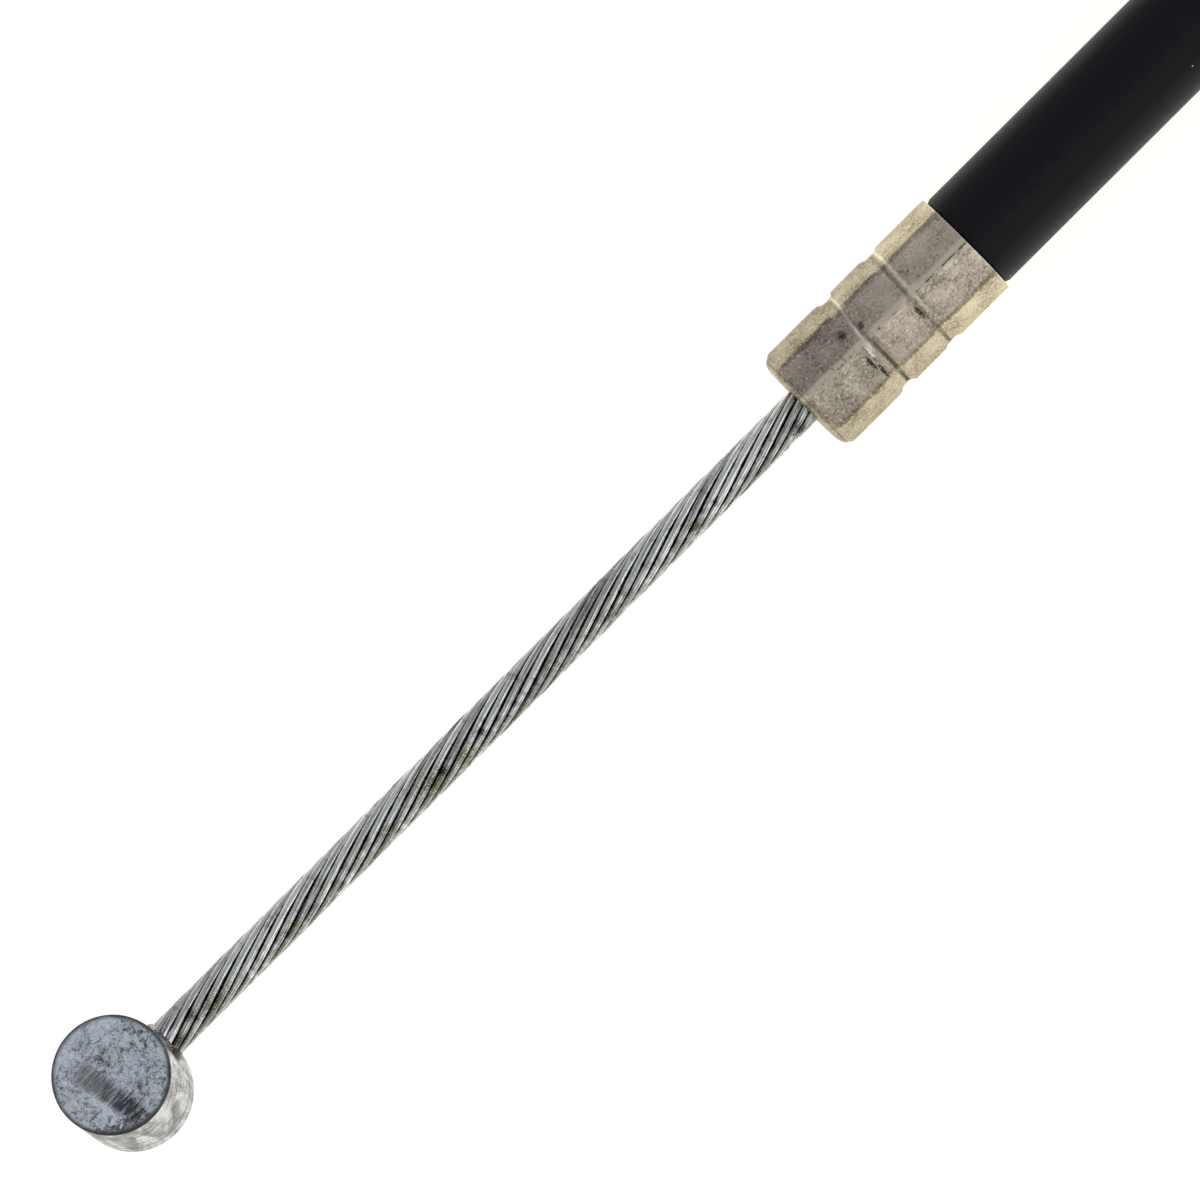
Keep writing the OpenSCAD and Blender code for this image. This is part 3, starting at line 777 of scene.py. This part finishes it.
ferrule = {
    "crimpTurn": 13,  # degrees about the wire, towards -Y
    "around": 16,  # every second point of a ring is on a ridge
    "ridge": 0.52,  # 0 leaves the ridges round, 1 makes them sharp
    # rings of the outside as (distance from the end face, radius on the ridges, on the flats)
    "outside": [
        (15.00, 3.92, 3.68), (14.95, 4.00, 3.79), (14.50, 4.00, 3.81), (12.60, 4.00, 3.81),
        (11.00, 4.00, 3.81), (10.55, 4.00, 3.79), (10.10, 4.12, 3.48), (9.84, 4.12, 3.48),
        (9.45, 4.00, 3.77), (9.10, 4.00, 3.80), (7.90, 4.00, 3.81), (6.90, 4.00, 3.80),
        (6.45, 4.00, 3.78), (6.06, 4.01, 3.32), (5.82, 4.01, 3.32), (5.40, 3.95, 3.70),
        (4.95, 4.00, 3.79), (4.40, 4.00, 3.81), (2.70, 4.00, 3.81), (0.90, 4.00, 3.80),
        (0.50, 4.00, 3.78), (0.18, 3.80, 3.60), (0.00, 3.28, 3.14)],
    "lips": {6.45: 0.55, 10.55: 0.45, 14.95: 0.5},  # crease of a ring, by distance
    # rings of the end face, the hole and the inside, which are round
    "inside": [(0, 2.4), (0, 1.72), (0.05, 1.65), (0.4, 1.64), (0.76, 1.65), (0.8, 1.9),
        (0.8, 3.2), (1.0, 3.42), (6, 3.42), (11, 3.42), (14.9, 3.42), (15, 3.5)],
    # stretches where the ridges are crisp
    "ridged": [(0.5, 5.8), (6.08, 9.82), (10.12, 14.95)],
    "ridgesFrom": 3.9,  # least radius of a ridge and of a lip
    "lipsFrom": 3.6,
    "uneven": 0.006,
    # painted highlight and shade lines: (degrees from the front ridge, half width, softness, dash
    # threshold, strength, colour)
    "paintedRidgeLight": [(2.5, 1.8, 3.5, 0.35, 0.9, "#F8E9C2"), (0, 0.4, 0.9, 0.54, 0.9, "#352E24"),
        (-8.5, 0.8, 2.5, 0.45, 0.3, "#6B604E"), (42.8, 1.0, 2.6, 0.35, 0.4, "#4E4434"),
        (-42.8, 1.0, 2.6, 0.35, 0.4, "#4E4434")],
    # beside the grooves, as spotOn's: dark pits, wedges of painted shade before the grooves, and
    # patches of painted highlight beside them
    "spots": [((4.9, 1.4, 3.47), (1, 1, 1), 1.0, 0.76, "#27221B"),
        ((6.3, 1.0, 3.5), (1, 1, 1), 0.6, 0.72, "#27221B"),
        ((5.02, -1.2, 3.5), (4.5, 1, 1), 0.8, 0.58, "#1E1A14"),
        ((5.25, -2.1, 3.1), (4.5, 1, 1), 0.8, 0.58, "#1E1A14"),
        ((9.55, -1.05, 3.45), (2.8, 1, 1), 0.75, 0.62, "#1F1B15"),
        ((5.47, -0.65, 3.6), (7, 1.2, 1.2), 0.9, 0.58, "#FFF9E4"),
        ((10.5, 0.4, 3.8), (1.2, 1.5, 1.5), 0.8, 0.72, "#F2E5C2")],
    # lines of painted highlight and painted shade round the ferrule, along the grooves and its
    # ends: (distance from the end face at the front ridge, and 3 mm towards
    # +Y of it, half width, strength towards -Y and towards +Y, colour)
    "paintedRingLines": [(5.67, 6.15, 0.15, 0.2, 1, "#FBF0D2"), (6.04, 6.0, 0.2, 0.9, 0.4, "#3A3328"),
        (10.12, 10.3, 0.15, 0, 1, "#FBF0D2"), (9.76, 9.9, 0.2, 0.8, 0.45, "#433B2F"),
        (14.92, 14.92, 0.08, 0.6, 0.6, "#F3EAD4"), (0.3, 0.3, 0.1, 0.45, 0.45, "#5A4F3E")],
}


def ferruleStep(v):
    # the point's number round its ring, which is even on a ridge
    return round(math.degrees(math.atan2(v.co.y, v.co.z)) * ferrule["around"] / 360)


def onFerruleRing(v, ring):
    x, ridgeRadius, flatRadius = ring
    radius = flatRadius if ferruleStep(v) % 2 else ridgeRadius
    away = abs(math.hypot(v.co.y, v.co.z) / mm - radius)
    return abs(v.co.x / mm - faceX - x) < same and away < same


def onFerruleRidge(e):
    near, far = sorted(v.co.x / mm - faceX for v in e.verts)
    outside = min(math.hypot(v.co.y, v.co.z) for v in e.verts) > ferrule["ridgesFrom"] * mm
    slack = 0.01  # for an edge that ends where its stretch does
    crisp = any(low < near + slack and far - slack < high for low, high in ferrule["ridged"])
    return outside and crisp and far - near > 2 * slack and ferruleStep(e.verts[0]) % 2 == 0


def onFerruleLip(e, x):
    outside = min(math.hypot(v.co.y, v.co.z) for v in e.verts) > ferrule["lipsFrom"] * mm
    return outside and all(abs(v.co.x / mm - faceX - x) < same for v in e.verts)


def makeFerrule():
    rings = ferrule["outside"] + [(x, r, r) for x, r in ferrule["inside"]]
    x, ridgeRadius = rings[0][:2]
    piece = startFrom(bpy.ops.mesh.primitive_circle_add, vertices=ferrule["around"],
        radius=ridgeRadius * mm, location=((faceX + x) * mm, 0, 0), rotation=(0, math.pi / 2, 0))
    editPiece(piece)
    before = (x, ridgeRadius, ridgeRadius)
    for index, ring in enumerate(rings):
        middle = ((faceX + ring[0]) * mm, 0, 0)
        pick("VERT", lambda v: onFerruleRing(v, before))
        if index > 0:
            step = ((ring[0] - before[0]) * mm, 0, 0)
            bpy.ops.mesh.extrude_region_move(TRANSFORM_OT_translate={"value": step})
            grow = ring[1] / before[1]
            bpy.ops.transform.resize(value=(1, grow, grow), center_override=middle)
        # the points on the flats move in or out against those on the ridges
        pick("VERT", lambda v: ferruleStep(v) % 2, among="selected")
        sink = ring[2] / ring[1] / (before[2] / before[1])
        bpy.ops.transform.resize(value=(1, sink, sink), center_override=middle)
        before = ring
    pick("EDGE", lambda e: e.is_boundary)
    bpy.ops.mesh.bridge_edge_loops()
    pick("EDGE", onFerruleRidge)
    bpy.ops.transform.edge_crease(value=ferrule["ridge"])
    for x, crease in ferrule["lips"].items():
        pick("EDGE", lambda e: onFerruleLip(e, x))
        bpy.ops.transform.edge_crease(value=crease)
    bpy.ops.mesh.select_all(action="SELECT")
    bpy.ops.transform.vertex_random(offset=ferrule["uneven"] * mm, seed=4)
    bpy.ops.mesh.normals_make_consistent(inside=False)
    bpy.ops.object.mode_set(mode="OBJECT")
    piece.rotation_euler = (math.radians(ferrule["crimpTurn"]), 0, 0)
    placeInMesh(piece)
    applyModifier(piece, "SUBSURF", levels=3, render_levels=3)
    return finishPiece(piece, "leverFerrule", "housing", ["lever_ferrule"],
        [nickelledSteel((faceX, 0, 0))], smoothUnder=60)


strand = {
    "radius": 1.35,
    "wires": 12,
    "wireRadius": 0.268,
    "lay": 22,  # length of one turn, which winds to the left
    "sides": 14,
    "stepsPerTurn": 36,
    "unevenTurn": 0.9,  # degrees by which a wire may lie off its place
    "unevenSize": 0.012,
    # dirt on the lever's wire, as spotOn's, and the zinc that ran out on it at the barrel
    "spots": [((28.2, -0.7, 1.06), (0.4, 0.9, 0.9), 2.2, 0.78, "#6E6437"),
        ((30.9, -0.8, 1.0), (0.5, 0.9, 0.9), 1.8, 0.8, "#6A5E2C"),
        ((28.0, -0.6, 1.1), (0.5, 1.1, 1.1), 1.3, 0.84, "#1E190A"),
        ((29.1, -0.6, 1.1), (1, 1.1, 1.1), 0.8, 0.68, "#231D0C"),
        ((32.7, -0.5, 1.15), (1, 1, 1), 0.6, 0.72, "#2E2816"),
        ((24.0, -0.8, 1.0), (0.4, 1, 1), 1.5, 0.82, "#5A5024"),
        ((44.0, -1.0, 0.72), (0.5, 1, 1), 1.2, 0.82, "#443A1C"),
        ((4.6, -0.9, 0.94), (0.8, 1, 1), 1.3, 0.75, "#3F3B28"),
        ((6.4, -0.3, 1.27), (0.5, 1, 1), 1.1, 0.8, "#544A22"),
        ((8.0, -0.8, 1.0), (0.35, 1, 1), 2.0, 0.8, "#5A5024"),
        ((15.0, -0.9, 0.94), (0.4, 1, 1), 1.2, 0.78, "#544A22"),
        ((52.0, -0.95, 0.9), (0.5, 1, 1), 1.1, 0.78, "#544A22"),
        ((61.2, -1.1, 0.59), (0.8, 1, 1), 1.2, 0.72, "#332D1C"),
        ((4.35, -0.25, 1.3), (1, 2, 2), 0.9, 0.58, "#FFFFFA")],
}


def layStrand(name, coverNode, coreNode, body, spots):
    low, high = boxOf(coverNode)
    helixRadius = strand["radius"] - strand["wireRadius"]
    axis = Vector((0, (low.y + high.y) / 2, (low.z + high.z) / 2))
    start = (low.x * mm, 0, helixRadius * mm)
    turns = (high.x - low.x) / strand["lay"]
    # a leaning wire's cut is longer round the strand than out from it
    lean = math.atan(2 * math.pi * helixRadius / strand["lay"])
    wire = startFrom(bpy.ops.mesh.primitive_circle_add, vertices=strand["sides"],
        radius=strand["wireRadius"] * mm, location=start, rotation=(0, math.pi / 2, 0))
    editAll(wire)
    bpy.ops.transform.resize(value=(1, 1 / math.cos(lean), 1), center_override=start)
    bpy.ops.object.mode_set(mode="OBJECT")
    steps = round(turns * strand["stepsPerTurn"])
    applyModifier(wire, "SCREW", axis="X", angle=-2 * math.pi * turns,
        screw_offset=(high.x - low.x) * mm, steps=steps, render_steps=steps)
    tidyMesh(wire, fillEnds=True)
    random.seed(name)
    wires = [wire]
    for index in range(1, strand["wires"]):
        makeActive(wire)
        bpy.ops.object.duplicate()
        copy = bpy.context.object
        off = random.uniform(-1, 1) * strand["unevenTurn"]
        copy.rotation_euler = (math.radians(360 / strand["wires"] * index + off), 0, 0)
        size = 1 - random.uniform(0, 1) * strand["unevenSize"]
        copy.scale = (1, size, size)
        wires.append(copy)
    for each in wires:
        placeInMesh(each)
    piece = joinPieces(wires)
    piece.location = axis * mm
    finish = galvanisedWires(name, axis, spots)
    dress(coreNode, finish)
    return finishPiece(piece, name, body, [coverNode], [finish],
        smoothUnder=60)


barrel = {
    "around": 128,
    "rim": 0.15,  # radius round both faces
    "bead": 0.025,  # how far the mould's parting line stands out
    "beadHalf": 0.07,
    "beadAt": 0.2,  # share of the height
    # the zinc that ran out along the wire, as (distance from the side, radius)
    "root": [(-0.7, 1.15), (-0.6, 1.62), (-0.3, 1.6), (-0.12, 1.53), (0.02, 1.45), (0.13, 1.38),
        (0.11, 1.15)],
    "rootUneven": 0.04,
    "rootAround": 48,
    # grime and painted shade of the crevice at the wire's root, as spotOn's
    "rootGrimeAndShade": [((3.95, 0.1, 1.45), (1.5, 0.8, 1), 1.2, 0.68, "#5B5C55"),
        ((3.95, -1.35, 0.65), (1, 1, 0.8), 1.1, 0.6, "#1E1B16")],
    "gate": {
        "at": (-0.91, -0.9, 0),
        "turn": 10,
        "length": 5.5,
        "width": 1.5,
        "depth": 0.06,
        "round": 0.45,  # radius of the bed's round end, as a share of its width
        # (x, y, degrees, length)
        "scratches": [(-2.64, -1.22, 0, 1.3), (-1.6, -3.0, 24, 1.1), (0.8, 2.2, -18, 0.8)],
    },
}


def makeBarrel(name, node, body, gate=None):
    low, high = boxOf(node)
    centre, size = (low + high) / 2, high - low
    radius = size.x / 2 - barrel["bead"]
    beadZ = low.z + size.z * barrel["beadAt"]
    piece = startFrom(bpy.ops.mesh.primitive_cylinder_add, vertices=barrel["around"],
        radius=radius * mm, depth=size.z * mm, location=centre * mm)
    editPiece(piece)
    for side in (-1, 0, 1):
        bpy.ops.mesh.select_all(action="SELECT")
        bpy.ops.mesh.bisect(plane_co=(0, 0, (beadZ + side * barrel["beadHalf"]) * mm),
            plane_no=(0, 0, 1))
    pick("VERT", lambda v: abs(v.co.z / mm - beadZ) < same)
    grow = 1 + barrel["bead"] / radius
    bpy.ops.transform.resize(value=(grow, grow, 1), center_override=centre * mm)
    pick("EDGE", lambda e: all(
        abs(abs(v.co.z / mm - centre.z) - size.z / 2) < same for v in e.verts))
    bpy.ops.mesh.bevel(offset=barrel["rim"] * mm, segments=4, affect="EDGES")
    bpy.ops.object.mode_set(mode="OBJECT")
    if gate:
        cutGate(piece, gate, high.z)
    root = turned(moved(barrel["root"], high.x), barrel["rootAround"])
    root.location = (0, centre.y * mm, centre.z * mm)
    placeInMesh(root)
    editAll(root)
    bpy.ops.transform.vertex_random(offset=barrel["rootUneven"] * mm, seed=7)
    bpy.ops.object.mode_set(mode="OBJECT")
    piece = joinPieces([piece, root])
    finishPiece(piece, name, body, [node], [
        castZincFace(name, centre, radius, gate), castZincSide(name, centre, beadZ - centre.z)])
    for face in piece.data.polygons:
        atEnd = abs(face.center.z / mm - centre.z) > size.z / 2 - barrel["rim"]
        face.material_index = 0 if atEnd else 1
    return piece


def cutGate(piece, gate, topZ):
    # a shallow bed with one round end, cut by a block that sinks in at that end
    tall = 1  # of the block, and all of it but the bed's depth stays above the face
    block = startFrom(bpy.ops.mesh.primitive_cube_add, size=mm)
    block.scale = (gate["width"], gate["length"], tall)
    placeInMesh(block)
    editPiece(block)
    pick("EDGE", lambda e: e.verts[0].co.y > 0 and e.verts[1].co.y > 0
        and abs(e.verts[0].co.z - e.verts[1].co.z) > tall / 2 * mm)
    bpy.ops.mesh.bevel(offset=gate["width"] * gate["round"] * mm, segments=6, affect="EDGES")
    bpy.ops.object.mode_set(mode="OBJECT")
    lean = math.atan(gate["depth"] / gate["length"])
    block.rotation_euler = (-lean, 0, math.radians(gate["turn"]))
    x, y, z = gate["at"]
    block.location = (x * mm, y * mm, (topZ + z + tall / 2 - gate["depth"] / 2) * mm)
    placeInMesh(block)
    cut(piece, block)


def makeTie(letter):
    turns = []
    turn = tie["at"][letter]
    while turn <= housing["turns"]:
        turns.append((coilRadiusAt(turn), coilHeightAt(turn)))
        turn += 1
    hugging = jacketRadius + tie["fit"]
    # the strap is drawn tight round rods in the place of the turns
    strap = joinPieces([startFrom(bpy.ops.mesh.primitive_cylinder_add, vertices=tie["around"],
        radius=hugging * mm, depth=tie["width"] * mm, location=(radius * mm, 0, height * mm),
        rotation=(math.pi / 2, 0, 0)) for radius, height in turns])
    editAll(strap)
    bpy.ops.mesh.convex_hull()
    pick("FACE", lambda f: abs(f.normal.y) > 0.9)
    bpy.ops.mesh.delete(type="FACE")
    tidyMesh(strap)
    applyModifier(strap, "SOLIDIFY", thickness=tie["thick"] * mm, offset=1, use_even_offset=True)
    applyModifier(strap, "BEVEL", width=tie["edge"] * mm, segments=2, limit_method="ANGLE",
        angle_limit=math.radians(60))

    insideX = min(radius for radius, height in turns) - hugging - tie["thick"]
    headZ = [height for radius, height in turns if radius < insideX + coilPitch][0]
    out, wide, tall = tie["head"]
    headX = insideX - out / 2 + tie["thick"] / 4
    head = beveledBlock((out + tie["thick"] / 2, wide, tall), (headX, 0, headZ), tie["headEdge"])
    slotAt = (headX - tie["slotOff"], 0, headZ + tall / 2)
    cut(head, beveledBlock(tie["slot"], slotAt, tie["slotEdge"]))
    stub = beveledBlock((tie["thick"], tie["width"], 2 * tie["stub"]), slotAt, tie["stubEdge"])
    piece = joinPieces([strap, head, stub])
    piece.rotation_euler = (0, 0, math.radians(360 * tie["at"][letter] - 90))
    piece.location = coilCentre * mm
    return finishPiece(piece, "coilTie" + letter, "housing", ["coil_tie_" + letter.lower()],
        [nylon], smoothUnder=45)


def beveledBlock(size, centre, radius):
    block = startFrom(bpy.ops.mesh.primitive_cube_add, size=mm)
    block.scale = size
    block.location = Vector(centre) * mm
    placeInMesh(block)
    editAll(block)
    bpy.ops.mesh.bevel(offset=radius * mm, segments=3, affect="EDGES")
    bpy.ops.object.mode_set(mode="OBJECT")
    return block


adjuster = {
    "pitch": 1.25,
    "threadTurns": 21,
    "threadRadius": 4,
    "rootRadius": 3.3,
    "flat": 0.17,  # width of a crest's flat, and of a root's
    "boreRadius": 1.8,
    "mouthBevel": 0.75,
    "countersink": 0.3,
    "clear": 0.2,  # between the crests and the blank that trims the thread's ends
    "steps": 60,
    "skirtRim": 0.4,
    "skirtFit": 0.02,
    "skirtLip": 0.12,
    "grooveShares": [1 / 3, 2 / 3],  # places of the rolled grooves along the crimped part
    # a groove as (distance from its middle, depth)
    "groove": [(-0.7, 0), (-0.5, 0.12), (-0.25, 0.26), (0, 0.3), (0.25, 0.26), (0.5, 0.12),
        (0.7, 0)],
}


def makeAdjuster():
    mouth, threadEnd = farLow.x, farLow.x + adjuster["pitch"] * adjuster["threadTurns"]
    bore, crest, root = adjuster["boreRadius"], adjuster["threadRadius"], adjuster["rootRadius"]
    pitch, half = adjuster["pitch"], adjuster["flat"] / 2
    # one pitch of the thread is wound past both ends, and a plain turned blank trims it
    line = drawLine([(mouth - pitch, root), (mouth - pitch + half, root),
        (mouth - pitch / 2 - half, crest), (mouth - pitch / 2 + half, crest), (mouth - half, root),
        (mouth, root)])
    applyModifier(line, "SCREW", axis="X", angle=2 * math.pi, screw_offset=pitch * mm,
        iterations=adjuster["threadTurns"] + 2, steps=adjuster["steps"],
        render_steps=adjuster["steps"])
    tidyMesh(line, fillEnds=True)
    bevel, sink, over = adjuster["mouthBevel"], adjuster["countersink"], crest + adjuster["clear"]
    blank = turned([(mouth, bore + sink), (mouth, crest - bevel), (mouth + bevel, crest),
        (mouth + bevel, over), (threadEnd, over), (threadEnd, bore), (mouth + sink, bore)])
    cut(blank, line, "INTERSECT")

    skirtRadius = (farHigh.y - farLow.y) / 2
    rim, lip = adjuster["skirtRim"], adjuster["skirtLip"]
    inner = jacketRadius + adjuster["skirtFit"]
    outline = [(threadEnd, bore), (threadEnd, skirtRadius - rim),
        (threadEnd + rim * roundIn, skirtRadius - rim * roundIn), (threadEnd + rim, skirtRadius)]
    for share in adjuster["grooveShares"]:
        middle = seatX + share * (farHigh.x - seatX)
        outline += [(middle + x, skirtRadius - depth) for x, depth in adjuster["groove"]]
    outline += [(farHigh.x - rim, skirtRadius),
        (farHigh.x - rim * roundIn, skirtRadius - rim * roundIn), (farHigh.x, skirtRadius - rim),
        (farHigh.x, inner + lip), (farHigh.x - lip, inner), (seatX, inner), (seatX, bore)]
    piece = joinPieces([blank, turned(outline)])
    piece.location = farAxis * mm
    return finishPiece(piece, "adjusterSleeve", "housing", ["adjuster_sleeve"],
        [brightZincPlate("adjusterSleeve", farAxis, ringsPerMm=5)], smoothUnder=30)


nut = {
    "flats": 13,
    "corners": 14.4,
    "boreRadius": 4.06,
    "countersink": 0.7,
    "slope": 30,  # degrees by which the corners fall away at both ends
    "edge": 0.12,
}
washer = {"holeRadius": 4.2, "edge": 0.22, "burr": 0.1, "around": 128}


def makeNut(name, node, body):
    low, high = boxOf(node)
    corner, flats = nut["corners"] / 2, nut["flats"] / 2
    bore, sink = nut["boreRadius"], nut["countersink"]
    fall = (corner - flats) * math.tan(math.radians(nut["slope"]))
    piece = turned([(low.x, bore + sink), (low.x, flats), (low.x + fall, corner),
        (high.x - fall, corner), (high.x, flats), (high.x, bore + sink), (high.x - sink, bore),
        (low.x + sink, bore)])
    halfSide = math.radians(30)  # the turn from the middle of a hexagon's side to its corner
    hexagon = startFrom(bpy.ops.mesh.primitive_cylinder_add, vertices=6,
        radius=flats / math.cos(halfSide) * mm, depth=(high.x - low.x + 1) * mm,
        location=((low.x + high.x) / 2 * mm, 0, 0), rotation=(0, math.pi / 2, 0))
    hexagon.rotation_euler = (halfSide, 0, 0)
    placeInMesh(hexagon)
    cut(piece, hexagon, "INTERSECT")
    applyModifier(piece, "BEVEL", width=nut["edge"] * mm, segments=2, limit_method="ANGLE",
        angle_limit=math.radians(50))
    piece.location = farAxis * mm
    return finishPiece(piece, name, body, [node],
        [brightZincPlate(name, farAxis, ringsPerMm=3)], smoothUnder=30)


def makeWasher(name, node, body):
    low, high = boxOf(node)
    radius, hole = (high.y - low.y) / 2, washer["holeRadius"]
    edge, burr = washer["edge"], washer["burr"]
    piece = turned([(low.x, hole + burr), (low.x, radius - burr), (low.x + burr, radius),
        (high.x - edge, radius), (high.x - edge * roundIn, radius - edge * roundIn),
        (high.x, radius - edge), (high.x, hole + edge), (high.x - edge, hole),
        (low.x + burr, hole)], washer["around"])
    piece.location = farAxis * mm
    return finishPiece(piece, name, body, [node],
        [brightZincPlate(name, farAxis, ringsPerMm=3)], smoothUnder=30)


nylon = mouldedNylon()
cord = makeHousing()
makeFerrule()
layStrand("leverStrand", "lever_wire_cover", "lever_wire_core", "lever_wire", strand["spots"])
makeBarrel("leverBarrel", "lever_barrel", "lever_wire", barrel["gate"])
onHousing = [
    layStrand("farStrand", "far_wire_cover", "far_wire_core", "far_wire", []),
    makeBarrel("farBarrel", "far_barrel", "far_wire"),
    makeTie("A"),
    makeTie("B"),
    makeAdjuster(),
    makeNut("lockNutOuter", "lock_nut_outer", "outer_nut"),
    makeNut("lockNutInner", "lock_nut_inner", "inner_nut"),
    makeWasher("washerOuter", "washer_outer", "outer_washer"),
    makeWasher("washerInner", "washer_inner", "inner_washer"),
]
for node, finish in (("liner", naturalPolythene()), ("winding", flatWoundSteel())):
    for end in ("lever_", "far_"):
        dress(end + node, finish)
declareHousing()
print("all pieces made")
